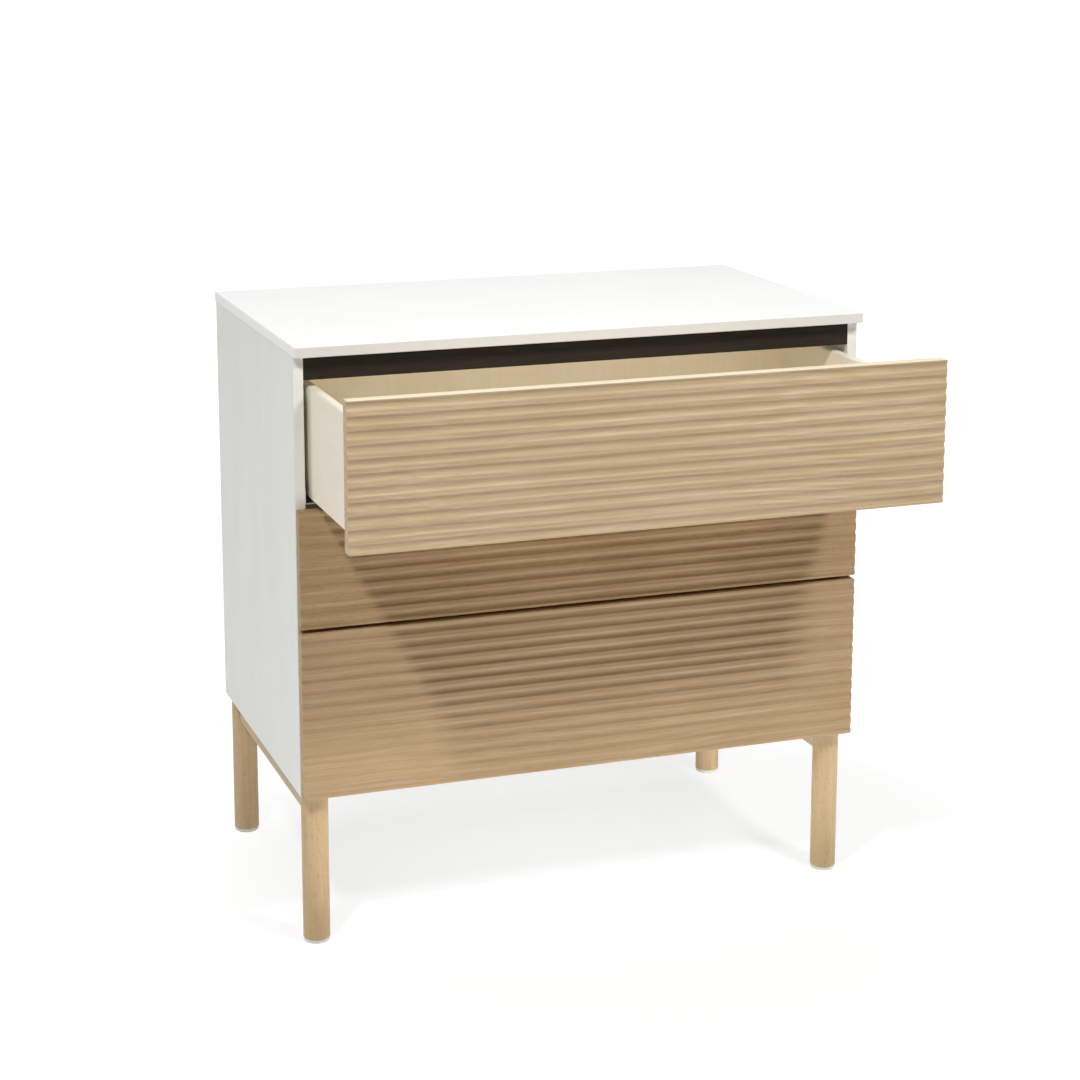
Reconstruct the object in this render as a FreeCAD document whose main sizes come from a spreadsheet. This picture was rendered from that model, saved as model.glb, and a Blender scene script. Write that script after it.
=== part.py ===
"""Chest of three drawers: a white case on round wooden legs, with fluted wooden drawer fronts.

Millimetres, +X to the right seen from the front, +Y to the back, +Z up. The origin is the centre of
the footprint, on the floor. The upper drawer stands open by upper_open, the other two are shut.
"""
import FreeCAD, Part
import math
import os
import re
import Sketcher

# Driving lengths, each an alias of the spreadsheet
SIZES = {
    # Case
    "case_width": 925.0,
    "panel": 16.0,
    "panel_edge_radius": 0.8,
    "top_thickness": 16.0,
    "top_depth": 548.0,
    "top_side_overhang": 2.0,
    "top_rear_overhang": 2.0,
    "top_reveal": 8.5,
    "top_corner_radius": 3.0,
    "top_edge_chamfer": 1.0,
    "back_thickness": 4.0,
    "back_inset": 10.0,
    "back_groove_depth": 6.0,
    "back_play": 0.2,
    "front_rail_height": 37.0,
    "front_rail_setback": 1.0,
    "rear_rail_height": 80.0,
    "rail_thickness": 16.0,
    # Fluted fronts
    "front_thickness": 18.0,
    "front_side_inset": 1.0,
    "front_spacing": 5.0,
    "front_gap": 1.0,
    "front_corner_radius": 2.5,
    "front_edge_chamfer": 1.2,
    "flute_pitch": 20.1,
    "flute_edge_upper": 9.0,
    "flute_edge_middle": 10.9,
    "flute_edge_lower": 11.6,
    "flute_reach": 7.0,
    "flute_depth": 2.8,
    "cut_overrun": 3.0,
    # Drawer boxes
    "box_side": 15.0,
    "box_play": 8.5,
    "box_length": 482.0,
    "box_drop": 39.0,
    "box_rise_upper": 10.0,
    "box_rise_middle": 13.0,
    "box_rise_lower": 27.0,
    "box_floor": 6.0,
    "box_floor_rise": 12.0,
    "box_groove_depth": 5.0,
    "box_groove_play": 0.2,
    "box_edge_radius": 4.0,
    "upper_open": 280.0,
    # Runners: a track on the case, a slide half way, a channel and a front catch under the drawer
    "runner_sheet": 1.5,
    "runner_play": 0.4,
    "track_setback": 3.0,
    "track_extra": 10.0,
    "track_drop": 9.0,
    "track_wall_rise": 14.0,
    "track_lip_rise": 2.0,
    "track_lip_gap": 1.1,
    "slide_setback": 5.0,
    "slide_shortfall": 30.0,
    "slide_rise": 6.0,
    "channel_setback": 2.0,
    "channel_end_gap": 10.0,
    "channel_width": 14.8,
    "catch_length": 55.0,
    "catch_width": 24.0,
    "catch_rise": 1.0,
    "catch_step_play": 1.0,
    "catch_side_play": 0.6,
    "catch_slot_width": 12.0,
    "catch_slot_start": 12.0,
    "catch_slot_length": 30.0,
    "catch_slot_depth": 5.0,
    # Legs and their side rails
    "leg_radius": 21.0,
    "leg_length": 238.5,
    "leg_side_inset": 6.0,
    "leg_edge_chamfer": 1.2,
    "glide_radius": 20.0,
    "glide_height": 5.5,
    "glide_edge": 1.0,
    "glide_pin_radius": 4.0,
    "glide_pin_length": 12.0,
    "glide_pin_play": 0.2,
    "base_rail_height": 42.0,
    "base_rail_thickness": 22.0,
    "base_rail_edge_radius": 2.0,
    "cope_play": 0.2,
    "tenon_thickness": 10.0,
    "tenon_height": 26.0,
    "tenon_play": 0.2,
    "tenon_end_gap": 1.0,
}

# How many flutes each front has
COUNTS = {
    "flutes_upper": 11,
    "flutes_middle": 9,
    "flutes_lower": 13,
}

# How much of a flute's half width its round hollow takes, before the bevel
SHARES = {
    "flute_valley_share": 0.85,
}

LEVELS = ("lower", "middle", "upper")
HANDS = {"left": "-1", "right": "1"}

# Places shared by several pieces, as formulas of the driving sizes
FRONT_Y = "(upper_open - top_depth) / 2"
CASE_Y = f"{FRONT_Y} + front_thickness + front_gap"
CASE_DEPTH = "(top_depth - top_rear_overhang - front_thickness - front_gap)"
CASE_Z = "glide_height + leg_length"
FRONT_HEIGHT = {
    level: f"(2 * flute_edge_{level} + (flutes_{level} - 1) * flute_pitch)" for level in LEVELS
}
FRONT_Z = {"lower": CASE_Z}
FRONT_Z["middle"] = f"{FRONT_Z['lower']} + {FRONT_HEIGHT['lower']} + front_spacing"
FRONT_Z["upper"] = f"{FRONT_Z['middle']} + {FRONT_HEIGHT['middle']} + front_spacing"
TOP_Z = f"{FRONT_Z['upper']} + {FRONT_HEIGHT['upper']} + top_reveal"
CASE_HEIGHT = f"({TOP_Z} - ({CASE_Z}))"
INSIDE_X = "(case_width / 2 - panel)"
BACK_Y = f"({CASE_DEPTH} - back_inset - back_thickness)"
BOX_OUTSIDE_X = f"({INSIDE_X} - box_play)"
BOX_INSIDE_X = f"({INSIDE_X} - box_play - box_side)"
LEG_X = "(case_width / 2 - leg_side_inset - leg_radius)"
LEG_FRONT_Y = f"{CASE_Y} + leg_radius"
LEG_SPACING = f"({CASE_DEPTH} - 2 * leg_radius)"
TRACK_LIP_X = "(box_play + box_side + track_lip_gap)"
SLIDE_WIDTH = "(channel_width + 2 * runner_play + 2 * runner_sheet)"
TRACK_RIM_X = f"({TRACK_LIP_X} + 2 * runner_sheet + 2 * runner_play + {SLIDE_WIDTH})"
CHANNEL_X = f"({TRACK_LIP_X} + 2 * runner_sheet + 2 * runner_play)"
CHANNEL_LENGTH = "(box_length - channel_setback - channel_end_gap)"
PULL = {"lower": "0", "middle": "0", "upper": "upper_open"}

DOC = FreeCAD.newDocument("chest_of_drawers")


def build_sheet():
    """Write every driving number into its own named cell."""
    sheet = DOC.addObject("Spreadsheet::Sheet", "Sizes")
    numbers = {**SIZES, **COUNTS, **SHARES}
    for row, (alias, number) in enumerate(numbers.items(), start=1):
        sheet.set(f"A{row}", str(number))
        sheet.setAlias(f"A{row}", alias)
    DOC.recompute()
    return sheet


SHEET = build_sheet()


def bind(feature, path, formula):
    """Tie a property to a formula written with the names of the driving sizes."""
    named = re.sub(r"[a-z][a-z_]*", lambda word: f"Sizes.{word.group()}", formula)
    feature.setExpression(path, named)


def new_body(label):
    """Start one named piece."""
    body = DOC.addObject("PartDesign::Body", label)
    body.Label = label
    return body


def place(body, x, y, z):
    """Put a piece where its three formulas say."""
    bind(body, "Placement.Base.x", x)
    bind(body, "Placement.Base.y", y)
    bind(body, "Placement.Base.z", z)


def new_sketch(body, plane):
    """Attach an empty sketch to one of the piece's own origin planes."""
    sketch = body.newObject("Sketcher::SketchObject", f"{body.Label}_sketch")
    support = next(item for item in body.Origin.OriginFeatures if item.Role == plane)
    sketch.AttachmentSupport = (support, [""])
    sketch.MapMode = "FlatFace"
    return sketch


def fix_size(sketch, kind, number, formula, *geometry):
    """Add one dimension to a sketch and tie it to a formula."""
    index = sketch.addConstraint(Sketcher.Constraint(kind, *geometry, number))
    bind(sketch, f"Constraints[{index}]", formula)


def fix_point(sketch, edge, end, point):
    """Hold one end of an edge at the place that two formulas give."""
    start = sketch.getPoint(edge, end)
    fix_size(sketch, "DistanceX", start.x, point[0], -1, 1, edge, end)
    fix_size(sketch, "DistanceY", start.y, point[1], -1, 1, edge, end)


def draw_polygon(body, plane, points):
    """Draw a closed outline whose corners are pairs of formulas."""
    sketch = new_sketch(body, plane)
    count = len(points)
    turns = [2 * math.pi * step / count for step in range(count)]
    corners = [FreeCAD.Vector(math.cos(turn), math.sin(turn), 0) for turn in turns]
    for step in range(count):
        sketch.addGeometry(Part.LineSegment(corners[step], corners[(step + 1) % count]))
    for step in range(count):
        sketch.addConstraint(Sketcher.Constraint("Coincident", step, 2, (step + 1) % count, 1))
    for step, point in enumerate(points):
        fix_point(sketch, step, 1, point)
    return sketch


def draw_rectangle(body, plane, low, high):
    """Draw a rectangle between two corners, each a pair of formulas."""
    return draw_polygon(body, plane, [low, (high[0], low[1]), high, (low[0], high[1])])


def draw_circles(body, plane, centres, radius):
    """Draw equal circles about centres that are pairs of formulas."""
    sketch = new_sketch(body, plane)
    for step, centre in enumerate(centres):
        start = FreeCAD.Vector(step, step, 0)
        sketch.addGeometry(Part.Circle(start, FreeCAD.Vector(0, 0, 1), 1))
        fix_point(sketch, step, 3, centre)
        fix_size(sketch, "Radius", 1, radius, step)
    return sketch


def pad(body, sketch, length, symmetric=False, reverse=False):
    """Extrude a sketch into solid."""
    feature = body.newObject("PartDesign::Pad", f"{body.Label}_pad")
    feature.Profile = sketch
    feature.SideType = "Symmetric" if symmetric else "One side"
    feature.Reversed = reverse
    bind(feature, "Length", length)
    DOC.recompute()
    return feature


def pocket(body, sketch, length, symmetric=False, reverse=False):
    """Cut a sketch out of the solid and make sure that it took something away."""
    before = body.Shape.Volume
    feature = body.newObject("PartDesign::Pocket", f"{body.Label}_pocket")
    feature.Profile = sketch
    feature.SideType = "Symmetric" if symmetric else "One side"
    feature.Reversed = reverse
    bind(feature, "Length", length)
    DOC.recompute()
    if body.Shape.Volume >= before:
        raise RuntimeError(f"{feature.Label} cuts nothing")
    return feature


def dress(body, kind, path, number, wanted):
    """Dress the edges of the latest shape that a test on middle, run and bounds picks."""
    base = body.Tip
    names = []
    for index, edge in enumerate(base.Shape.Edges, start=1):
        run = edge.Vertexes[-1].Point - edge.Vertexes[0].Point
        if wanted(edge.CenterOfMass, run, base.Shape.BoundBox):
            names.append(f"Edge{index}")
    feature = body.newObject(f"PartDesign::{kind}", f"{body.Label}_{kind.lower()}")
    feature.Base = (base, names)
    bind(feature, path, number)
    DOC.recompute()
    return feature


def fillet(body, radius, wanted):
    """Round the picked edges."""
    return dress(body, "Fillet", "Radius", radius, wanted)


def chamfer(body, width, wanted):
    """Bevel the picked edges."""
    return dress(body, "Chamfer", "Size", width, wanted)


def near(first, second):
    """Tell whether two coordinates are the same place."""
    return math.isclose(first, second, rel_tol=1e-6, abs_tol=1e-6)


def is_upright(middle, run, bounds):
    """Pick edges that run straight up."""
    return run.Length > 0 and near(abs(run.z), run.Length)


def is_corner(middle, run, bounds):
    """Pick edges that run straight to the back."""
    return run.Length > 0 and near(abs(run.y), run.Length)


def is_face_edge(middle, run, bounds):
    """Pick the edges round the foremost face."""
    return near(middle.y, bounds.YMin)


def is_level_rim(middle, run, bounds):
    """Pick the edges round the top and bottom faces."""
    return near(middle.z, bounds.ZMin) or near(middle.z, bounds.ZMax)


def is_top_long(middle, run, bounds):
    """Pick the long top edges of a board that runs to the back."""
    return near(middle.z, bounds.ZMax) and is_corner(middle, run, bounds)


def is_top_across(middle, run, bounds):
    """Pick the long top edges of a board that runs across."""
    return near(middle.z, bounds.ZMax) and near(abs(run.x), run.Length)


def is_bottom_long(middle, run, bounds):
    """Pick the long bottom edges of a board that runs to the back."""
    return near(middle.z, bounds.ZMin) and is_corner(middle, run, bounds)


def is_bottom_rim(middle, run, bounds):
    """Pick the edges round the bottom face."""
    return near(middle.z, bounds.ZMin)


def is_front_upright(middle, run, bounds):
    """Pick the upright edges at the front of a panel."""
    return near(middle.y, bounds.YMin) and is_upright(middle, run, bounds)


def back_groove(play):
    """Give the front and rear formulas of the groove that holds the back panel."""
    return f"{BACK_Y} - {play}", f"{BACK_Y} + back_thickness + {play}"


def make_top_panel():
    """Build the top, which reaches out over the sides and over the shut fronts."""
    body = new_body("top_panel")
    half = "(case_width / 2 + top_side_overhang)"
    outline = draw_rectangle(body, "XY_Plane", (f"-{half}", "0"), (half, "top_depth"))
    pad(body, outline, "top_thickness")
    fillet(body, "top_corner_radius", is_upright)
    chamfer(body, "top_edge_chamfer", is_level_rim)
    groove_half = f"({INSIDE_X} + back_groove_depth)"
    start, end = [f"front_thickness + front_gap + {edge}" for edge in back_groove("back_play")]
    groove = draw_rectangle(body, "XY_Plane", (f"-{groove_half}", start), (groove_half, end))
    pocket(body, groove, "back_groove_depth", reverse=True)
    place(body, "0", FRONT_Y, TOP_Z)


def make_side_panel(side):
    """Build one side of the case, with the groove that holds the back panel."""
    hand = HANDS[side]
    body = new_body(f"side_panel_{side}")
    outer = f"{hand} * case_width / 2"
    inner = f"{hand} * {INSIDE_X}"
    floor = f"{hand} * ({INSIDE_X} + back_groove_depth)"
    start, end = back_groove("back_play")
    outline = draw_polygon(body, "XY_Plane", [
        (outer, "0"), (outer, CASE_DEPTH), (inner, CASE_DEPTH), (inner, end),
        (floor, end), (floor, start), (inner, start), (inner, "0"),
    ])
    pad(body, outline, CASE_HEIGHT)
    fillet(body, "panel_edge_radius", is_front_upright)
    place(body, "0", CASE_Y, CASE_Z)


def make_bottom_panel():
    """Build the bottom of the case, between the sides."""
    body = new_body("bottom_panel")
    start, end = back_groove("back_play")
    floor = "panel - back_groove_depth"
    outline = draw_polygon(body, "YZ_Plane", [
        ("0", "0"), (CASE_DEPTH, "0"), (CASE_DEPTH, "panel"), (end, "panel"),
        (end, floor), (start, floor), (start, "panel"), ("0", "panel"),
    ])
    pad(body, outline, f"2 * {INSIDE_X}", symmetric=True)
    place(body, "0", CASE_Y, CASE_Z)


def make_back_panel():
    """Build the thin back, held in the grooves of the four boards round it."""
    body = new_body("back_panel")
    half = f"({INSIDE_X} + back_groove_depth - back_play)"
    low = "panel - back_groove_depth + back_play"
    high = f"{CASE_HEIGHT} + back_groove_depth - back_play"
    outline = draw_rectangle(body, "XZ_Plane", (f"-{half}", low), (half, high))
    pad(body, outline, "back_thickness", reverse=True)
    place(body, "0", f"{CASE_Y} + {BACK_Y}", CASE_Z)


def make_case_rail(label, height, y):
    """Build a rail that joins the sides right under the top."""
    body = new_body(label)
    outline = draw_rectangle(body, "YZ_Plane", ("0", f"-{height}"), ("rail_thickness", "0"))
    pad(body, outline, f"2 * {INSIDE_X}", symmetric=True)
    place(body, "0", y, TOP_Z)


def draw_flute(body):
    """Draw one flute: a round hollow with a narrow bevel on each side, open to the front."""
    share, reach, depth = SHARES["flute_valley_share"], SIZES["flute_reach"], SIZES["flute_depth"]
    radius = (reach ** 2 + depth ** 2) / (2 * depth)
    valley, turn = share * radius, math.asin(reach / radius)
    sketch = new_sketch(body, "YZ_Plane")
    rim, outside = depth * (1 - share), SIZES["cut_overrun"]
    corners = [(0, -reach), (rim, -reach * share), (rim, reach * share), (0, reach),
               (-outside, reach), (-outside, -reach)]
    corners = [FreeCAD.Vector(*corner, 0) for corner in corners]
    circle = Part.Circle(FreeCAD.Vector(depth - valley, 0, 0), FreeCAD.Vector(0, 0, 1), valley)
    for step, corner in enumerate(corners):
        line = Part.LineSegment(corner, corners[(step + 1) % len(corners)])
        sketch.addGeometry(Part.ArcOfCircle(circle, -turn, turn) if step == 1 else line)
    for step in range(len(corners)):
        after = (step + 1) % len(corners)
        sketch.addConstraint(Sketcher.Constraint("Coincident", step, 2, after, 1))
    bend = "flute_depth * (1 - flute_valley_share)"
    fix_point(sketch, 0, 1, ("0", "-flute_reach"))
    fix_point(sketch, 1, 1, (bend, "-flute_reach * flute_valley_share"))
    fix_point(sketch, 2, 1, (bend, "flute_reach * flute_valley_share"))
    fix_point(sketch, 3, 1, ("0", "flute_reach"))
    fix_point(sketch, 4, 1, ("-cut_overrun", "flute_reach"))
    fix_point(sketch, 5, 1, ("-cut_overrun", "-flute_reach"))
    whole = "(flute_reach ^ 2 + flute_depth ^ 2) / (2 * flute_depth)"
    fix_size(sketch, "Radius", valley, f"flute_valley_share * {whole}", 1)
    return sketch


def cut_flutes(body, level):
    """Cut the lowest flute across the front and repeat it up to the top edge."""
    sketch = draw_flute(body)
    bind(sketch, "AttachmentOffset.Base.y", f"flute_edge_{level}")
    DOC.recompute()
    flute = pocket(body, sketch, "case_width", symmetric=True)
    pattern = body.newObject("PartDesign::LinearPattern", f"{body.Label}_flutes")
    pattern.Originals = [flute]
    pattern.Direction = (sketch, ["V_Axis"])
    pattern.Mode = "Spacing"
    bind(pattern, "Offset", "flute_pitch")
    bind(pattern, "Occurrences", f"flutes_{level}")
    body.Tip = pattern
    DOC.recompute()


def make_front(level):
    """Build one fluted drawer front, grooved behind for the drawer's floor."""
    body = new_body(f"drawer_{level}_front")
    half = "(case_width / 2 - front_side_inset)"
    outline = draw_rectangle(body, "XZ_Plane", (f"-{half}", "0"), (half, FRONT_HEIGHT[level]))
    pad(body, outline, "front_thickness", reverse=True)
    fillet(body, "front_corner_radius", is_corner)
    chamfer(body, "front_edge_chamfer", is_face_edge)
    cut_flutes(body, level)
    floor = f"box_rise_{level} + box_floor_rise"
    low = ("front_thickness - box_groove_depth", f"{floor} - box_groove_play")
    high = ("front_thickness + cut_overrun", f"{floor} + box_floor + box_groove_play")
    groove = draw_rectangle(body, "YZ_Plane", low, high)
    pocket(body, groove, f"2 * ({BOX_INSIDE_X} + box_groove_depth)", symmetric=True)
    place(body, "0", f"{FRONT_Y} - {PULL[level]}", FRONT_Z[level])


def box_height(level):
    """Give the height of a drawer's sides as a formula."""
    return f"({FRONT_HEIGHT[level]} - box_drop - box_rise_{level})"


def place_in_box(body, level, y="0", z="0"):
    """Put a piece of a drawer box behind the drawer's front."""
    start = f"{FRONT_Y} + front_thickness - {PULL[level]}"
    place(body, "0", f"{start} + {y}", f"{FRONT_Z[level]} + box_rise_{level} + {z}")


def make_box_side(level, side):
    """Build one side of a drawer box: a grooved section with a rounded top."""
    hand = HANDS[side]
    body = new_body(f"drawer_{level}_side_{side}")
    outer = f"{hand} * {BOX_OUTSIDE_X}"
    inner = f"{hand} * {BOX_INSIDE_X}"
    groove = f"{hand} * ({BOX_INSIDE_X} + box_groove_depth)"
    low = "box_floor_rise - box_groove_play"
    high = "box_floor_rise + box_floor + box_groove_play"
    outline = draw_polygon(body, "XZ_Plane", [
        (outer, "0"), (outer, box_height(level)), (inner, box_height(level)), (inner, high),
        (groove, high), (groove, low), (inner, low), (inner, "0"),
    ])
    pad(body, outline, "box_length", reverse=True)
    fillet(body, "box_edge_radius", is_top_long)
    place_in_box(body, level)


def make_box_floor(level):
    """Build the floor of a drawer box, let into the front and the sides."""
    body = new_body(f"drawer_{level}_floor")
    reach = "(box_groove_depth - box_groove_play)"
    half = f"({BOX_INSIDE_X} + {reach})"
    outline = draw_rectangle(body, "XY_Plane", (f"-{half}", f"-{reach}"), (half, "box_length"))
    pad(body, outline, "box_floor")
    place_in_box(body, level, z="box_floor_rise")


def make_box_back(level):
    """Build the back of a drawer box, which stands on the floor between the sides."""
    body = new_body(f"drawer_{level}_back")
    height = f"{box_height(level)} - box_floor_rise - box_floor"
    outline = draw_rectangle(body, "YZ_Plane", ("0", "0"), ("box_side", height))
    pad(body, outline, f"2 * {BOX_INSIDE_X}", symmetric=True)
    fillet(body, "box_edge_radius", is_top_across)
    place_in_box(body, level, y="box_length - box_side", z="box_floor_rise + box_floor")


def make_runner_piece(label, side, points, length, y, z):
    """Extrude one rolled runner section, drawn inward from the side panel."""
    hand = HANDS[side]
    body = new_body(label)
    section = [(f"{hand} * ({INSIDE_X} - ({across}))", up) for across, up in points]
    pad(body, draw_polygon(body, "XZ_Plane", section), length, reverse=True)
    place(body, "0", y, z)


def trough(left, right, low, rim):
    """List the corners of an open trough of runner sheet between two walls."""
    return [
        (left, rim), (left, low), (right, low), (right, rim),
        (f"{right} - runner_sheet", rim), (f"{right} - runner_sheet", f"{low} + runner_sheet"),
        (f"{left} + runner_sheet", f"{low} + runner_sheet"), (f"{left} + runner_sheet", rim),
    ]


def make_track(level, side, z):
    """Build the runner's fixed track: a wall plate, a base and two lips round the slide."""
    first, last = TRACK_LIP_X, TRACK_RIM_X
    low, base = "-track_drop", "runner_sheet - track_drop"
    points = [
        ("0", low), (last, low), (last, "track_lip_rise"),
        (f"{last} - runner_sheet", "track_lip_rise"), (f"{last} - runner_sheet", base),
        (f"{first} + runner_sheet", base), (f"{first} + runner_sheet", "track_lip_rise"),
        (first, "track_lip_rise"), (first, base),
        ("runner_sheet", base), ("runner_sheet", "track_wall_rise"), ("0", "track_wall_rise"),
    ]
    label = f"runner_track_{level}_{side}"
    length = f"{CHANNEL_LENGTH} + track_extra"
    make_runner_piece(label, side, points, length, f"{CASE_Y} + track_setback", z)


def make_slide(level, side, z):
    """Build the half-way slide, a trough that runs in the track."""
    left = f"({TRACK_LIP_X} + runner_sheet + runner_play)"
    low = "(runner_sheet + runner_play - track_drop)"
    points = trough(left, f"({left} + {SLIDE_WIDTH})", low, "slide_rise")
    y = f"{CASE_Y} + slide_setback - {PULL[level]} / 2"
    length = f"{CHANNEL_LENGTH} - slide_shortfall"
    make_runner_piece(f"runner_slide_{level}_{side}", side, points, length, y, z)


def make_channel(level, side, z):
    """Build the channel under the drawer's floor, which hangs down into the slide."""
    left, right = CHANNEL_X, f"({CHANNEL_X} + channel_width)"
    low, plate = "2 * (runner_sheet + runner_play) - track_drop", "box_floor_rise - runner_sheet"
    points = [
        (left, low), (left, "box_floor_rise"), (right, "box_floor_rise"), (right, low),
        (f"{right} - runner_sheet", low), (f"{right} - runner_sheet", plate),
        (f"{left} + runner_sheet", plate), (f"{left} + runner_sheet", low),
    ]
    y = f"{FRONT_Y} + front_thickness + channel_setback - {PULL[level]}"
    make_runner_piece(f"runner_channel_{level}_{side}", side, points, CHANNEL_LENGTH, y, z)


def make_catch(level, side, z):
    """Build the front catch that clips the drawer to its channel, stepped over slide and track."""
    first = f"({CHANNEL_X} + channel_width)"
    step = f"({TRACK_RIM_X} + catch_side_play)"
    last = f"({step} + catch_width)"
    points = [
        (first, "box_floor_rise"), (first, "slide_rise + catch_step_play"),
        (step, "slide_rise + catch_step_play"), (step, "catch_rise"),
        (last, "catch_rise"), (last, "box_floor_rise"),
    ]
    label = f"runner_catch_{level}_{side}"
    y = f"{FRONT_Y} + front_thickness - {PULL[level]}"
    make_runner_piece(label, side, points, "catch_length", y, z)
    body = DOC.getObject(label)
    middle = f"({INSIDE_X} - {step} - catch_width / 2)"
    low = f"{HANDS[side]} * {middle} - catch_slot_width / 2"
    high = f"{HANDS[side]} * {middle} + catch_slot_width / 2"
    end = "catch_slot_start + catch_slot_length"
    slot = draw_rectangle(body, "XY_Plane", (low, "catch_slot_start"), (high, end))
    pocket(body, slot, "catch_rise + catch_slot_depth", reverse=True)


def make_drawer(level):
    """Build one drawer and the two runners that carry it."""
    make_front(level)
    make_box_floor(level)
    make_box_back(level)
    z = f"{FRONT_Z[level]} + box_rise_{level}"
    for side in HANDS:
        make_box_side(level, side)
        make_track(level, side, z)
        make_slide(level, side, z)
        make_channel(level, side, z)
        make_catch(level, side, z)


def make_leg(end, side):
    """Build one round leg, mortised for its side rail and drilled for its glide."""
    body = new_body(f"leg_{end}_{side}")
    pad(body, draw_circles(body, "XY_Plane", [("0", "0")], "leg_radius"), "leg_length")
    chamfer(body, "leg_edge_chamfer", is_bottom_rim)
    pin_hole = draw_circles(body, "XY_Plane", [("0", "0")], "glide_pin_radius + glide_pin_play")
    pocket(body, pin_hole, "glide_pin_length + glide_pin_play", reverse=True)
    middle = "leg_length - base_rail_height / 2"
    half_width = "(tenon_thickness / 2 + tenon_play)"
    half_height = "(tenon_height / 2 + tenon_play)"
    low = (f"-{half_width}", f"{middle} - {half_height}")
    high = (half_width, f"{middle} + {half_height}")
    mortise = draw_rectangle(body, "XZ_Plane", low, high)
    pocket(body, mortise, "leg_radius + cut_overrun", reverse=end == "rear")
    y = LEG_FRONT_Y if end == "front" else f"{LEG_FRONT_Y} + {LEG_SPACING}"
    place(body, f"{HANDS[side]} * {LEG_X}", y, "glide_height")


def make_glide(end, side):
    """Turn one glide: a flat foot with a pin up into the leg."""
    body = new_body(f"glide_{end}_{side}")
    pin_top = "glide_height + glide_pin_length"
    outline = draw_polygon(body, "XZ_Plane", [
        ("0", "0"), ("glide_radius - glide_edge", "0"), ("glide_radius", "glide_edge"),
        ("glide_radius", "glide_height"), ("glide_pin_radius", "glide_height"),
        ("glide_pin_radius", pin_top), ("0", pin_top),
    ])
    feature = body.newObject("PartDesign::Revolution", f"{body.Label}_turned")
    feature.Profile = outline
    feature.ReferenceAxis = (outline, ["V_Axis"])
    DOC.recompute()
    y = LEG_FRONT_Y if end == "front" else f"{LEG_FRONT_Y} + {LEG_SPACING}"
    place(body, f"{HANDS[side]} * {LEG_X}", y, "0")


def make_base_rail(side):
    """Build the rail between two legs, coped to their rounds and tenoned into them."""
    body = new_body(f"base_rail_{side}")
    board = draw_rectangle(body, "YZ_Plane", ("0", "0"), (LEG_SPACING, "base_rail_height"))
    pad(body, board, "base_rail_thickness", symmetric=True)
    fillet(body, "base_rail_edge_radius", is_bottom_long)
    centres = [("0", "0"), ("0", LEG_SPACING)]
    cope = draw_circles(body, "XY_Plane", centres, "leg_radius + cope_play")
    pocket(body, cope, "base_rail_height", reverse=True)
    low = ("tenon_end_gap", "(base_rail_height - tenon_height) / 2")
    high = (f"{LEG_SPACING} - tenon_end_gap", "(base_rail_height + tenon_height) / 2")
    pad(body, draw_rectangle(body, "YZ_Plane", low, high), "tenon_thickness", symmetric=True)
    place(body, f"{HANDS[side]} * {LEG_X}", LEG_FRONT_Y, f"{CASE_Z} - base_rail_height")


def make_base():
    """Build the two leg frames under the case."""
    for side in HANDS:
        make_base_rail(side)
        for end in ("front", "rear"):
            make_leg(end, side)
            make_glide(end, side)


def make_case():
    """Build the boards of the case."""
    make_top_panel()
    make_bottom_panel()
    make_back_panel()
    for side in HANDS:
        make_side_panel(side)
    make_case_rail("front_top_rail", "front_rail_height", f"{CASE_Y} + front_rail_setback")
    make_case_rail("rear_top_rail", "rear_rail_height", f"{CASE_Y} + {BACK_Y} - rail_thickness")


def export_pieces():
    """Check every object, then write each piece to its own file."""
    DOC.recompute()
    failed = [item.Label for item in DOC.Objects if {"Invalid", "Error"} & set(item.State)]
    if failed:
        raise RuntimeError(f"failed objects: {failed}")
    os.makedirs("parts", exist_ok=True)
    for body in DOC.findObjects("PartDesign::Body"):
        shape = body.Shape
        if shape.isNull() or not shape.isValid() or len(shape.Solids) != 1:
            raise RuntimeError(f"{body.Label} is not one valid solid")
        shape.exportStep(f"parts/{body.Label}.step")
        print(f"{body.Label}: {shape.Volume:.0f} mm3")


def main():
    """Build the whole chest and export it."""
    make_case()
    make_base()
    for level in LEVELS:
        make_drawer(level)
    export_pieces()


main()
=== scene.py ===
"""Chest of three drawers: white lacquered case on round beech legs, with fluted beech fronts.

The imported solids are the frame. This script gives them their finishes, puts finer fluted boards
over the three fronts, adds the screws, cam discs and felt pads that the solids leave out, and
sets up a plain studio.
"""
import logging
import math
from dataclasses import dataclass, field
from enum import Enum
from typing import Any, Iterable

import bpy
from mathutils import Matrix, Vector
from mathutils.bvhtree import BVHTree


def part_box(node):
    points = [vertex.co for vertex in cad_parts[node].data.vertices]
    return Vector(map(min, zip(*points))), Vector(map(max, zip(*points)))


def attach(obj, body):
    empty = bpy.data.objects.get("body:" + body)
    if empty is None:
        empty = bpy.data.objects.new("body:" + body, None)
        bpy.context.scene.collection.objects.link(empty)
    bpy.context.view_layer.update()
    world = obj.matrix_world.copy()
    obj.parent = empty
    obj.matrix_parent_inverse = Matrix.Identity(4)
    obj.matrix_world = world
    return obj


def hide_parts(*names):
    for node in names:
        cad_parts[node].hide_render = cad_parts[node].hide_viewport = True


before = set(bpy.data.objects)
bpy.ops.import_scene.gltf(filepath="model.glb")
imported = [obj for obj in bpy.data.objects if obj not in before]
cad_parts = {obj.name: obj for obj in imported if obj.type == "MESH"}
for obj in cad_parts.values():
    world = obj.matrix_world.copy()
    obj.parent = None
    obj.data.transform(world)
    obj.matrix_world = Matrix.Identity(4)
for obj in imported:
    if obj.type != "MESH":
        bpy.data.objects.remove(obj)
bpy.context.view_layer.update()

LOG = logging.getLogger("chest")
Tree = bpy.types.NodeTree
Socket = bpy.types.NodeSocket
Point = tuple[float, float, float]
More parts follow.
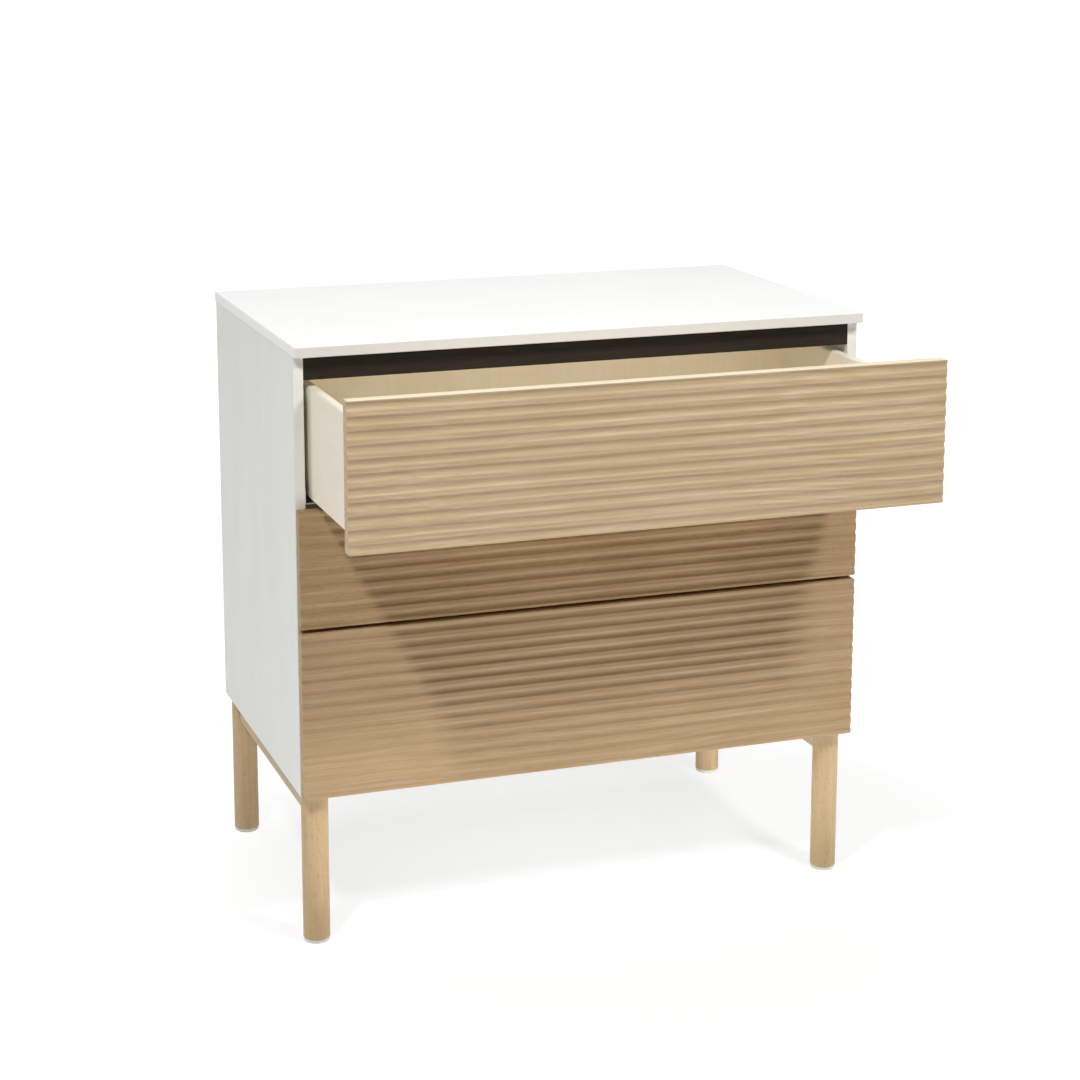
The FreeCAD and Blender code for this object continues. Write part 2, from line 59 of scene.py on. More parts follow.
Span = tuple[float, float]
Seat = tuple[Vector, Point]
MM = 0.001
# A seating ray starts this far off the surface that it looks for.
CLEAR = 100 * MM
UPWARDS: Point = (0.0, 0.0, 1.0)
FORWARDS: Point = (0.0, -1.0, 0.0)
# A wave texture of scale one repeats after this many metres.
WAVE_LENGTH = 0.3142
# Nearly all of a noise lies in the first span, and most of it in the second.
NOISE_WHOLE: Span = (0.3, 0.7)
NOISE_CORE: Span = (0.35, 0.65)


def linear(colour: str) -> tuple[float, float, float, float]:
    """Turns a written sRGB colour into the linear one that a shader takes.

    Args:
        colour: six hex digits, with or without a leading hash.

    Returns:
        Red, green, blue and an alpha of one.
    """
    digits = colour.lstrip("#")
    parts = [int(digits[i:i + 2], 16) / 255 for i in (0, 2, 4)]
    return (*[c / 12.92 if c <= 0.04045 else ((c + 0.055) / 1.055) ** 2.4 for c in parts], 1.0)


def add(tree: Tree, kind: str, settings: dict[Any, Any] | None = None,
        links: dict[Any, Socket] | None = None) -> bpy.types.Node:
    """Adds one node to a tree.

    Args:
        tree: the shader or geometry tree that gets the node.
        kind: the node's type name.
        settings: values for its properties, or for its inputs by name or number.
        links: output sockets that feed its inputs, by name or number.

    Returns:
        The new node.
    """
    node = tree.nodes.new(kind)
    for key, value in (settings or {}).items():
        if isinstance(key, str) and hasattr(node, key):
            setattr(node, key, value)
        else:
            node.inputs[key].default_value = value
    for key, socket in (links or {}).items():
        tree.links.new(socket, node.inputs[key])
    return node


def calc(tree: Tree, operation: str, *terms: Socket | float) -> Socket:
    """Works one sum out with a Math node.

    Args:
        tree: the shader or geometry tree that gets the node.
        operation: the Math node's operation.
        terms: its inputs in order, each a number or a socket.

    Returns:
        The result's socket.
    """
    numbers = {i: term for i, term in enumerate(terms) if isinstance(term, (int, float))}
    sockets = {i: term for i, term in enumerate(terms) if i not in numbers}
    return add(tree, "ShaderNodeMath", {"operation": operation, **numbers}, sockets).outputs[0]


def empty_tree(owner: bpy.types.Material | bpy.types.World) -> Tree:
    """Gives a material or a world its node tree, without the nodes that it starts with.

    Args:
        owner: the material or the world.

    Returns:
        Its empty tree.
    """
    owner.use_nodes = True
    owner.node_tree.nodes.clear()
    return owner.node_tree


def put(name: str, data: bpy.types.ID) -> bpy.types.Object:
    """Makes an object and puts it in the scene.

    Args:
        name: the object's name.
        data: its mesh, its light or its camera.

    Returns:
        The object.
    """
    made = bpy.data.objects.new(name, data)
    bpy.context.scene.collection.objects.link(made)
    return made


class Term:
    """A value in a node tree, so that a rule of Math nodes reads as it would be written."""

    def __init__(self, tree: Tree, socket: Socket) -> None:
        """Keeps the value's socket and the tree that it is in."""
        self.tree = tree
        self.socket = socket

    def do(self, operation: str, *others: "Term | float") -> "Term":
        """Works one sum out with a Math node, in which this value comes first.

        Args:
            operation: the Math node's operation.
            others: its other inputs in order, each a number or a value.

        Returns:
            The result.
        """
        terms = [other.socket if isinstance(other, Term) else other for other in others]
        return Term(self.tree, calc(self.tree, operation, self.socket, *terms))

    def __add__(self, other: "Term | float") -> "Term":
        """Adds another value."""
        return self.do("ADD", other)

    def __sub__(self, other: "Term | float") -> "Term":
        """Takes another value away."""
        return self.do("SUBTRACT", other)

    def __rsub__(self, other: float) -> "Term":
        """Is taken away from a number."""
        return Term(self.tree, calc(self.tree, "SUBTRACT", other, self.socket))

    def __mul__(self, other: "Term | float") -> "Term":
        """Multiplies by another value."""
        return self.do("MULTIPLY", other)

    def __truediv__(self, other: "Term | float") -> "Term":
        """Divides by another value."""
        return self.do("DIVIDE", other)


class Rule:
    """A Geometry Nodes tree with named inputs, which makes one piece as a plain mesh."""

    SOCKETS = {float: "NodeSocketFloat", int: "NodeSocketInt", Vector: "NodeSocketVector",
               bpy.types.Material: "NodeSocketMaterial"}

    def __init__(self, name: str, values: dict[str, Any]) -> None:
        """Starts the tree and gives it its named inputs.

        Args:
            name: the piece's name.
            values: each input's value by its name, with the material under Finish.
        """
        self.name = name
        self.values = values
        self.tree = bpy.data.node_groups.new(f"rule_{name}", "GeometryNodeTree")
        face = self.tree.interface
        face.new_socket("Geometry", in_out="INPUT", socket_type="NodeSocketGeometry")
        self.keys = {}
        for word, value in values.items():
            kind = next(kind for made, kind in self.SOCKETS.items() if isinstance(value, made))
            self.keys[word] = face.new_socket(word, in_out="INPUT", socket_type=kind).identifier
        face.new_socket("Geometry", in_out="OUTPUT", socket_type="NodeSocketGeometry")
        self.given = self.add("NodeGroupInput").outputs

    def add(self, kind: str, settings: dict[Any, Any] | None = None,
            links: dict[Any, Socket] | None = None) -> bpy.types.Node:
        """Adds one node to this tree, as the function of the same name does."""
        return add(self.tree, kind, settings, links)

    def term(self, word: str) -> Term:
        """Takes the input of a name as a value to reckon with."""
        return Term(self.tree, self.given[word])

    def split(self, vector: Socket) -> list[Term]:
        """Splits a vector into its three values."""
        parts = self.add("ShaderNodeSeparateXYZ", links={0: vector}).outputs
        return [Term(self.tree, part) for part in parts]

    def join(self, *parts: Term) -> Socket:
        """Joins three values into a vector."""
        return self.add("ShaderNodeCombineXYZ",
                        links={i: part.socket for i, part in enumerate(parts)}).outputs[0]

    def run(self, seed: bpy.types.Mesh, geometry: Socket) -> bpy.types.Object:
        """Ends the tree, runs it and keeps what it makes as a plain mesh.

        Args:
            seed: the mesh that the tree starts from.
            geometry: what the tree has made, before it gets its finish.

        Returns:
            The piece, with no modifier left on it.
        """
        real = self.add("GeometryNodeRealizeInstances", links={0: geometry})
        dressed = self.add("GeometryNodeSetMaterial",
                           links={"Geometry": real.outputs[0], "Material": self.given["Finish"]})
        self.add("NodeGroupOutput", links={0: dressed.outputs[0]})
        carrier = put(f"{self.name}_carrier", seed)
        modifier = carrier.modifiers.new("rule", "NODES")
        modifier.node_group = self.tree
        for word, value in self.values.items():
            modifier[self.keys[word]] = value
        graph = bpy.context.evaluated_depsgraph_get()
        mesh = bpy.data.meshes.new_from_object(carrier.evaluated_get(graph))
        mesh.name = self.name
        bpy.data.objects.remove(carrier)
        return put(self.name, mesh)


class Grain(Enum):
    """Which way the fibres of a board run, and the axes across the board and into it."""

    WIDTH = ("X", "Z", "Y")
    DEPTH = ("Y", "Z", "X")
    UPRIGHT = ("Z", "X", "Y")
    FLAT = ("X", "Y", "Z")


class Level(Enum):
    """The three drawers, from the floor up."""

    LOWER = "lower"
    MIDDLE = "middle"
    UPPER = "upper"


class Hand(Enum):
    """The two sides of the chest, with the sign that each has along its width."""

    LEFT = -1
    RIGHT = 1

    @property
    def word(self) -> str:
        """The side's name, as the solids' names end."""
        return self.name.lower()


class Surface:
    """A material's tree while it is built: its shader, its coordinates and the usual steps."""

    def __init__(self, tree: Tree, finish: "Finish") -> None:
        """Sets the shader up with the finish's plain values.

        Args:
            tree: the material's empty tree.
            finish: the finish that it shows.
        """
        self.tree = tree
        self.finish = finish
        self.shader = add(tree, "ShaderNodeBsdfPrincipled",
                          {"Base Color": linear(finish.colour), "Roughness": finish.roughness,
                           "Metallic": finish.metallic})
        if not finish.metallic:
            self.shader.inputs["IOR"].default_value = finish.ior
            self.shader.inputs["Specular IOR Level"].default_value = finish.specular
        add(tree, "ShaderNodeOutputMaterial", links={"Surface": self.shader.outputs[0]})
        self.place = add(tree, "ShaderNodeTexCoord").outputs["Object"]
        self.axes = add(tree, "ShaderNodeSeparateXYZ", links={0: self.place}).outputs

    def along(self, grain: Grain) -> Socket:
        """Turns the coordinates so that the first axis runs with the fibres."""
        return add(self.tree, "ShaderNodeCombineXYZ",
                   links={i: self.axes[a] for i, a in enumerate(grain.value)}).outputs[0]

    def noise(self, place: Socket, size: Point, detail: float = 2.0,
              roughness: float = 0.5) -> Socket:
        """Makes a noise whose features have a real size along each axis.

        Args:
            place: the coordinates, in metres.
            size: feature length along each axis, in millimetres.
            detail: octaves of finer noise.
            roughness: how strong the finer octaves are.

        Returns:
            The noise value, about 0.3 to 0.7.
        """
        scaled = add(self.tree, "ShaderNodeMapping",
                     {"Scale": tuple(1 / (s * MM) for s in size)}, {"Vector": place})
        return add(self.tree, "ShaderNodeTexNoise",
                   {"Scale": 1.0, "Detail": detail, "Roughness": roughness},
                   {"Vector": scaled.outputs[0]}).outputs["Fac"]

    def span(self, value: Socket, source: Span, target: Span) -> Socket:
        """Maps a value from one range to another and holds it there.

        Args:
            value: the value to map.
            source: the range that it has.
            target: the range that it gets.

        Returns:
            The mapped value.
        """
        return add(self.tree, "ShaderNodeMapRange",
                   {1: source[0], 2: source[1], 3: target[0], 4: target[1]},
                   {0: value}).outputs[0]

    def blend(self, share: Socket, under: Socket | str, over: str) -> Socket:
        """Lays one colour over another by a share.

        Args:
            share: how much of the upper colour shows.
            under: the lower colour, written or from a node.
            over: the upper colour, written.

        Returns:
            The mixed colour.
        """
        node = add(self.tree, "ShaderNodeMix", {"data_type": "RGBA", 7: linear(over)}, {0: share})
        if isinstance(under, str):
            node.inputs[6].default_value = linear(under)
        else:
            self.tree.links.new(under, node.inputs[6])
        return node.outputs[2]

    def veil(self, under: Socket | str, over: str, value: Socket, source: Span,
             share: float) -> Socket:
        """Lays one colour over another where a value crosses a range.

        Args:
            under: the lower colour, written or from a node.
            over: the upper colour, written.
            value: the value that drives it.
            source: where the upper colour begins and where it is full.
            share: how much of the upper colour shows at the most.

        Returns:
            The mixed colour.
        """
        return self.blend(self.span(value, source, (0.0, share)), under, over)

    def banded(self, colour: Socket, edge: str, front: float) -> Socket:
        """Lays a glued edge band's colour on what lies further forward than a plane; the band is
        warmer, and darker as painted shade.

        Args:
            colour: the board's own colour.
            edge: the band's colour, written: a warmer white, made darker as painted shade on the
                front faces.
            front: where the band begins, along the depth.

        Returns:
            The colour with its band.
        """
        return self.blend(calc(self.tree, "LESS_THAN", self.axes[1], front), colour, edge)

    def settle(self, colour: Socket, value: Socket, source: Span, swing: Span) -> None:
        """Feeds the shader its colour and a roughness that swings about the finish's own.

        Args:
            colour: the colour.
            value: the value that drives the roughness.
            source: the range that it has.
            swing: what is added to the roughness at both ends of that range.
        """
        target = tuple(self.finish.roughness + part for part in swing)
        self.tree.links.new(colour, self.shader.inputs["Base Color"])
        self.tree.links.new(self.span(value, source, target), self.shader.inputs["Roughness"])

    def emboss(self, height: Socket, depth_mm: float, strength: float) -> None:
        """Gives the shader a relief of a real depth.

        Args:
            height: the relief's height, from zero to one.
            depth_mm: its depth in millimetres.
            strength: how much of it shows.
        """
        bump = add(self.tree, "ShaderNodeBump",
                   {"Strength": strength, "Distance": depth_mm * MM}, {"Height": height})
        self.tree.links.new(bump.outputs[0], self.shader.inputs["Normal"])


@dataclass(frozen=True)
class Finish:
    """What every finish has: its name, its base colour and how it takes the light.

    The maker's words for the surface are in each subclass.
    """

    name: str
    colour: str
    roughness: float = 0.5
    metallic: float = 0.0
    ior: float = 1.5
    specular: float = 0.5

    def material(self) -> bpy.types.Material:
        """Builds the finish as a node material.

        Returns:
            The material, made once and then found by its name.
        """
        made = bpy.data.materials.get(self.name)
        if made:
            return made
        made = bpy.data.materials.new(self.name)
        self.weave(Surface(empty_tree(made), self))
        return made

    def weave(self, look: Surface) -> None:
        """Adds the finish's own detail; each finish has its own.

        Args:
            look: the material's tree, with its shader in place.
        """


@dataclass(frozen=True)
class OiledBeech(Finish):
    """Planed beech under a matt oil: rings, long soft streaks and short dark ray flecks.

    It gives the eye a warm tan that wanders slowly along the board, figure that wavers where
    the flutes cut through the rings, and a soft sheen with no gloss.
    """

    late: str = "#B98B5C"
    ray: str = "#8A6038"
    pale: str = "#E2C497"
    grain: Grain = Grain.WIDTH
    ring_mm: float = 7.5
    heart_mm: Span = (0.0, 60.0)
    start_mm: float = 0.0
    slant: float = 0.012
    skew_share: float = 0.6
    ring_share: float = 0.22
    sway_mm: float = 22.0
    sways_per_metre: Point = (2.0, 7.0, 7.0)
    tone_mm: Point = (520.0, 30.0, 30.0)
    tone_shares: Span = (0.1, 0.5)
    cast_mm: Point = (150.0, 60.0, 60.0)
    cast_share: float = 0.22
    streak_mm: Point = (300.0, 3.4, 3.4)
    streak_share: float = 0.38
    pale_streaks: float = 0.7
    # Vessel lines are a tenth of a millimetre; they are drawn near 1.4 mm so that they show.
    fibre_mm: Point = (60.0, 1.4, 1.4)
    fibre_share: float = 0.22
    # Beech rays are 1 to 3 mm long; the photograph shows the larger ones, near 9 mm.
    ray_mm: Point = (9.0, 2.0, 2.0)
    ray_share: float = 0.1
    specular: float = 0.25
    # Above this height, in metres, the board's top face is painted paler as a painted highlight of
    # the light from above; no board is as high as the plain value.
    crest: float = 9.0
    crest_colour: str = "#F0E4CB"
    crest_share: float = 0.8

    def swing(self, look: Surface, board: Socket) -> Socket:
        """Bends the coordinates as the stem wandered while it grew.

        Args:
            look: the material's tree.
            board: the board's straight coordinates.

        Returns:
            Coordinates with a slow sway over half a metre, and a waver of a few more.
        """
        stretched = add(look.tree, "ShaderNodeMapping", {"Scale": self.sways_per_metre},
                        {"Vector": board})
        drift = add(look.tree, "ShaderNodeTexNoise",
                    {"Scale": 1.0, "Detail": 2.0, "Roughness": 0.3},
                    {"Vector": stretched.outputs[0]})
        centred = add(look.tree, "ShaderNodeVectorMath",
                      {"operation": "SUBTRACT", 1: (0.5, 0.5, 0.5)}, {0: drift.outputs["Color"]})
        reach = 2 * self.sway_mm * MM
        return add(look.tree, "ShaderNodeVectorMath",
                   {"operation": "MULTIPLY_ADD", 1: (0.0, reach, reach)},
                   {0: centred.outputs[0], 2: board}).outputs[0]

    def weave(self, look: Surface) -> None:
        """Draws the board: rings and tone first, then streaks, vessels and rays, then a painted
        highlight on the top face.
        """
        board = add(look.tree, "ShaderNodeMapping",
                    {"Location": (self.start_mm * MM, -self.heart_mm[0] * MM,
                                  -self.heart_mm[1] * MM),
                     "Rotation": (0.0, self.slant, self.slant * self.skew_share)},
                    {"Vector": look.along(self.grain)}).outputs[0]
        swung = self.swing(look, board)
        rings = add(look.tree, "ShaderNodeTexWave",
                    {"wave_type": "RINGS", "rings_direction": "X", "wave_profile": "SIN",
                     "Scale": WAVE_LENGTH / (self.ring_mm * MM), "Distortion": 0.0},
                    {"Vector": swung}).outputs["Fac"]
        tone = look.noise(swung, self.tone_mm)
        cast = look.noise(board, self.cast_mm, 1.0)
        streak = look.noise(swung, self.streak_mm, 2.0, 0.6)
        fibre = look.noise(swung, self.fibre_mm, 2.0, 0.6)
        rays = look.noise(board, self.ray_mm, 0.0)
        colour = look.blend(look.span(tone, (0.36, 0.64), self.tone_shares), self.colour,
                            self.pale)
        colour = look.blend(calc(look.tree, "MULTIPLY", rings, self.ring_share), colour, self.late)
        colour = look.veil(colour, self.late, streak, (0.4, 0.66), self.streak_share)
        colour = look.veil(colour, self.pale, streak, (0.46, 0.3),
                           self.pale_streaks * self.streak_share)
        colour = look.veil(colour, self.late, cast, (0.42, 0.66), self.cast_share)
        colour = look.veil(colour, self.late, fibre, (0.45, 0.7), self.fibre_share)
        colour = look.veil(colour, self.ray, rays, (0.66, 0.76), self.ray_share)
        # Painted highlight: the board's top face is painted paler where the light from above falls
        # on it.
        painted_highlight_mask = calc(look.tree, "GREATER_THAN", look.axes[2], self.crest)
        colour = look.blend(calc(look.tree, "MULTIPLY", painted_highlight_mask, self.crest_share), colour,
                            self.crest_colour)
        look.settle(colour, fibre, NOISE_WHOLE, (-0.06, 0.08))
        look.emboss(fibre, 0.06, 0.4)


@dataclass(frozen=True)
class PaleBirch(Finish):
    """Sanded birch under clear varnish, as drawer boxes are made: nearly plain and very pale.

    It gives the eye a cream board with faint soft streaks and slow cloudy patches.
    """

    streak: str = "#B7A27C"
    grain: Grain = Grain.DEPTH
    # Birch fibre is far finer than a pixel, so its bundles are drawn 2.5 mm wide.
    streak_mm: Point = (110.0, 2.5, 2.5)
    streak_share: float = 0.3
    cloud_mm: Point = (90.0, 45.0, 45.0)
    cloud_share: float = 0.16

    def weave(self, look: Surface) -> None:
        """Draws streaks along the grain and a slow change of tone."""
        board = look.along(self.grain)
        streaks = look.noise(board, self.streak_mm, 3.0, 0.6)
        cloud = look.noise(board, self.cloud_mm)
        colour = look.veil(self.colour, self.streak, streaks, (0.4, 0.72), self.streak_share)
        colour = look.veil(colour, self.streak, cloud, (0.4, 0.65), self.cloud_share)
        look.settle(colour, streaks, NOISE_WHOLE, (-0.05, 0.08))
        look.emboss(streaks, 0.08, 0.35)


@dataclass(frozen=True)
class SprayedLacquer(Finish):
    """White satin lacquer sprayed on a fine board: smooth, with the least orange peel.

    It gives the eye a clean white with a soft sheen that breaks up a little, and a shade of
    grey where hands and cloths have rubbed.
    """

    rubbed: str = "#E4E3DD"
    rub_mm: Point = (160.0, 110.0, 140.0)
    rub_share: float = 0.55
    # Orange peel has cells of about 1 mm; it is drawn at 3 mm so that the sheen shows it.
    peel_mm: Point = (3.0, 3.0, 3.0)
    # The front edge's colour: a warmer edge band, also painted darker as painted shade on the front
    # faces.
    edge: str = "#E4E3DD"
    front: float = -9.0

    def weave(self, look: Surface) -> None:
        """Adds orange peel and rubbed patches."""
        peel = look.noise(look.place, self.peel_mm, 1.0)
        rub = look.noise(look.place, self.rub_mm, 3.0, 0.55)
        colour = look.veil(self.colour, self.rubbed, rub, (0.42, 0.72), self.rub_share)
        look.settle(look.banded(colour, self.edge, self.front), rub, NOISE_WHOLE, (-0.05, 0.1))
        look.emboss(peel, 0.03, 0.3)


@dataclass(frozen=True)
class PressedFoil(Finish):
    """Melamine foil pressed on chipboard with a shallow wood pore that runs upright.

    It gives the eye a cool matt white, or a dark brown, with faint lines along the pores.
    """

    pore: str = "#D3D5CE"
    grain: Grain = Grain.UPRIGHT
    # Embossed pores are 0.3 mm wide; they are drawn near 2.5 mm so that they show.
    pore_mm: Point = (55.0, 2.5, 2.5)
    pore_share: float = 0.5
    tone_mm: Point = (300.0, 90.0, 90.0)
    tone_share: float = 0.3
    # The front edge's colour: a warmer edge band, also painted darker as painted shade on the front
    # faces.
    edge: str = "#D3D5CE"
    front: float = -9.0

    def weave(self, look: Surface) -> None:
        """Adds the embossed pores and a slow change of tone."""
        sheet = look.along(self.grain)
        pores = look.noise(sheet, self.pore_mm, 2.0, 0.6)
        tone = look.noise(sheet, self.tone_mm, 1.0)
        colour = look.veil(self.colour, self.pore, pores, (0.42, 0.7), self.pore_share)
        colour = look.veil(colour, self.pore, tone, (0.4, 0.7), self.tone_share)
        look.settle(look.banded(colour, self.edge, self.front), pores, NOISE_WHOLE, (-0.08, 0.08))
        look.emboss(pores, 0.08, 0.5)


@dataclass(frozen=True)
class GalvanisedSteel(Finish):
    """Cold rolled steel strip with a bright zinc coat, drawn through rollers along its length.

    It gives the eye a cool grey metal with faint draw lines and cloudy dull patches.
    """

    dull: str = "#8E9396"
    line_mm: Point = (1.2, 160.0, 1.2)
    cloud_mm: Point = (9.0, 14.0, 9.0)
    cloud_share: float = 0.7

    def weave(self, look: Surface) -> None:
        """Adds draw lines along the depth and cloudy zinc."""
        lines = look.noise(look.place, self.line_mm, 2.0, 0.6)
        cloud = look.noise(look.place, self.cloud_mm, 3.0, 0.6)
        colour = look.veil(self.colour, self.dull, cloud, (0.4, 0.68), self.cloud_share)
        look.settle(colour, cloud, NOISE_CORE, (-0.08, 0.14))
        look.emboss(lines, 0.02, 0.4)


@dataclass(frozen=True)
class MouldedPlastic(Finish):
    """Polypropylene from a spark eroded mould: an even, fine and slightly waxy grain.

    It gives the eye a soft highlight with no sharp edge, and scuffs that are a little duller.
    """

    scuff: str = "#D9D5CB"
    # The mould's grain is 0.2 mm; it is drawn at 0.8 mm.
    grain_mm: Point = (0.8, 0.8, 0.8)
    scuff_mm: Point = (7.0, 7.0, 4.0)
    scuff_share: float = 0.8

    def weave(self, look: Surface) -> None:
        """Adds the mould's grain and scuffs."""
        grain = look.noise(look.place, self.grain_mm, 1.0)
        scuffs = look.noise(look.place, self.scuff_mm, 3.0, 0.65)
        colour = look.veil(self.colour, self.scuff, scuffs, (0.45, 0.7), self.scuff_share)
        look.settle(colour, scuffs, NOISE_CORE, (-0.08, 0.14))
        look.emboss(grain, 0.05, 0.35)


@dataclass(frozen=True)
class PressedFelt(Finish):
    """Needled wool felt in small pads: matt and fuzzy, with fibres in every direction."""

    fibre: str = "#8F8A80"
    hair_mm: Point = (0.5, 0.5, 1.6)
    sheen: float = 0.25

    def weave(self, look: Surface) -> None:
        """Adds short crossed fibres."""
        look.shader.inputs["Sheen Weight"].default_value = self.sheen
        hairs = look.noise(look.place, self.hair_mm, 3.0, 0.7)
        colour = look.veil(self.colour, self.fibre, hairs, (0.4, 0.65), 1.0)
        look.settle(colour, hairs, NOISE_WHOLE, (-0.1, 0.05))
        look.emboss(hairs, 0.2, 0.6)


# The top's and the sides' front edges get a warmer band that is painted darker: painted shade on
# the faces turned away from the light above.
TOP_LACQUER = SprayedLacquer("white_satin_lacquer", "#FBFBF9", 0.42, rubbed="#F8F8F5",
                             edge="#DDDAD4", front=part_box("top_panel")[0][1] + 0.6 * MM)
SIDE_FOIL = PressedFoil("white_pressed_foil_sides", "#EEF0EB", 0.5, pore="#E2E4DE",
                        pore_share=0.25, edge="#E6E4DC",
                        front=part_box("side_panel_left")[0][1] + 0.4 * MM)
BOTTOM_FOIL = PressedFoil("white_pressed_foil_bottom", "#ECECE7", 0.55, pore="#D9D9D2",
                          grain=Grain.FLAT)
BACK_FOIL = PressedFoil("white_faced_hardboard_back", "#E9E8E2", 0.6, pore="#D5D3CA")
# The front top rail is finished near black-brown, so that it shows as the dark band above the open
# upper drawer.
DARK_RAIL = PressedFoil("dark_brown_foil_rail", "#282118", 0.6, pore="#1F1912", specular=0.15,
                        grain=Grain.WIDTH, pore_share=0.8)
# The three fronts are one beech; their colours differ as painted light and shade: the upper front
# is painted lightest, the lower darker and the middle darkest.
UPPER_BEECH = OiledBeech("oiled_beech_upper_front", "#CAB18F", 0.5, late="#B1966F",
                         pale="#DAC6A6", ray="#8A6F49", heart_mm=(880.0, -330.0),
                         start_mm=140.0, ring_share=0.36, sway_mm=34.0,
                         crest=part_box("drawer_upper_front")[1][2] - 0.7 * MM)
MIDDLE_BEECH = OiledBeech("oiled_beech_middle_front", "#AA8E69", 0.5, late="#90714B",
                          pale="#BEA27D", ray="#694C2D", heart_mm=(640.0, -70.0),
                          start_mm=910.0, ray_share=0.22)
LOWER_BEECH = OiledBeech("oiled_beech_lower_front", "#B59976", 0.5, late="#9D8059",
                         pale="#C6AC89", ray="#7A5D3E", heart_mm=(330.0, -70.0),
                         start_mm=420.0)
LEG_BEECH = OiledBeech("oiled_beech_turned_legs", "#CBAF87", 0.48, late="#B89B73",
                       pale="#D8C09B", ray="#94724A", grain=Grain.UPRIGHT,
                       heart_mm=(500.0, 40.0), ring_share=0.15, streak_share=0.25,
                       ray_share=0.28, ray_mm=(8.5, 2.3, 2.3))
RAIL_BEECH = OiledBeech("oiled_beech_base_rails", "#D2BE9E", 0.5, late="#B9A07A",
                        pale="#E2D2B5", ray="#96785A", grain=Grain.DEPTH,
                        heart_mm=(180.0, 380.0))
SIDE_BIRCH = PaleBirch("varnished_birch_box_sides", "#F7EFDD", 0.5, streak="#E6DAC0",
                       streak_share=0.15)
BACK_BIRCH = PaleBirch("varnished_birch_box_backs", "#F9EED8", 0.52, streak="#E8D8B6",
                       grain=Grain.UPRIGHT, streak_share=0.25)
FLOOR_BIRCH = PaleBirch("varnished_birch_box_floors", "#E2D6BB", 0.52, streak="#CBB992",
                        grain=Grain.FLAT)
RUNNER_ZINC = GalvanisedSteel("galvanised_steel_runners", "#B9BCBD", 0.38, 1.0)
SCREW_ZINC = GalvanisedSteel("bright_zinc_screws", "#D2D4D6", 0.26, 1.0, dull="#A2A6A8")
GLIDE_PLASTIC = MouldedPlastic("moulded_plastic_glides", "#EFECE5", 0.5)
CATCH_PLASTIC = MouldedPlastic("moulded_plastic_catches", "#8C9196", 0.48, scuff="#777C80")
FRONT_FELT = PressedFelt("needled_felt_pads", "#A9A499", 0.95)


def dress(names: Iterable[str], finish: Finish) -> None:
    """Gives CAD nodes a finish by their material slots.

    Args:
        names: the nodes.
        finish: the finish that they get.
    """
    for name in names:
        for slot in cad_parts[name].material_slots:
            slot.material = finish.material()
        LOG.info("dressed %s with %s", name, finish.name)


def between(low: float, high: float, share: float) -> float:
    """Tells the place at a share of the way from one end to the other."""
    return low + share * (high - low)


def seats(name: str, way: Point, starts: Iterable[Point]) -> list[Seat]:
    """Finds where rays first meet a CAD node, so that heads sit on what carries them.

    Args:
        name: the node.
        way: the rays' direction.
        starts: where each ray starts, in metres.

    Returns:
        Each seat, with the way that its head faces: back along the ray.
    """
    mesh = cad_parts[name].data
    tree = BVHTree.FromPolygons([v.co for v in mesh.vertices],
                                [p.vertices[:] for p in mesh.polygons])
    found = [tree.ray_cast(Vector(start), Vector(way))[0] for start in starts]
    if any(seat is None for seat in found):
        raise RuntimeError(f"no face of {name} lies along that ray")
    facing = tuple(0.0 - part for part in way)
    return [(seat, facing) for seat in found]


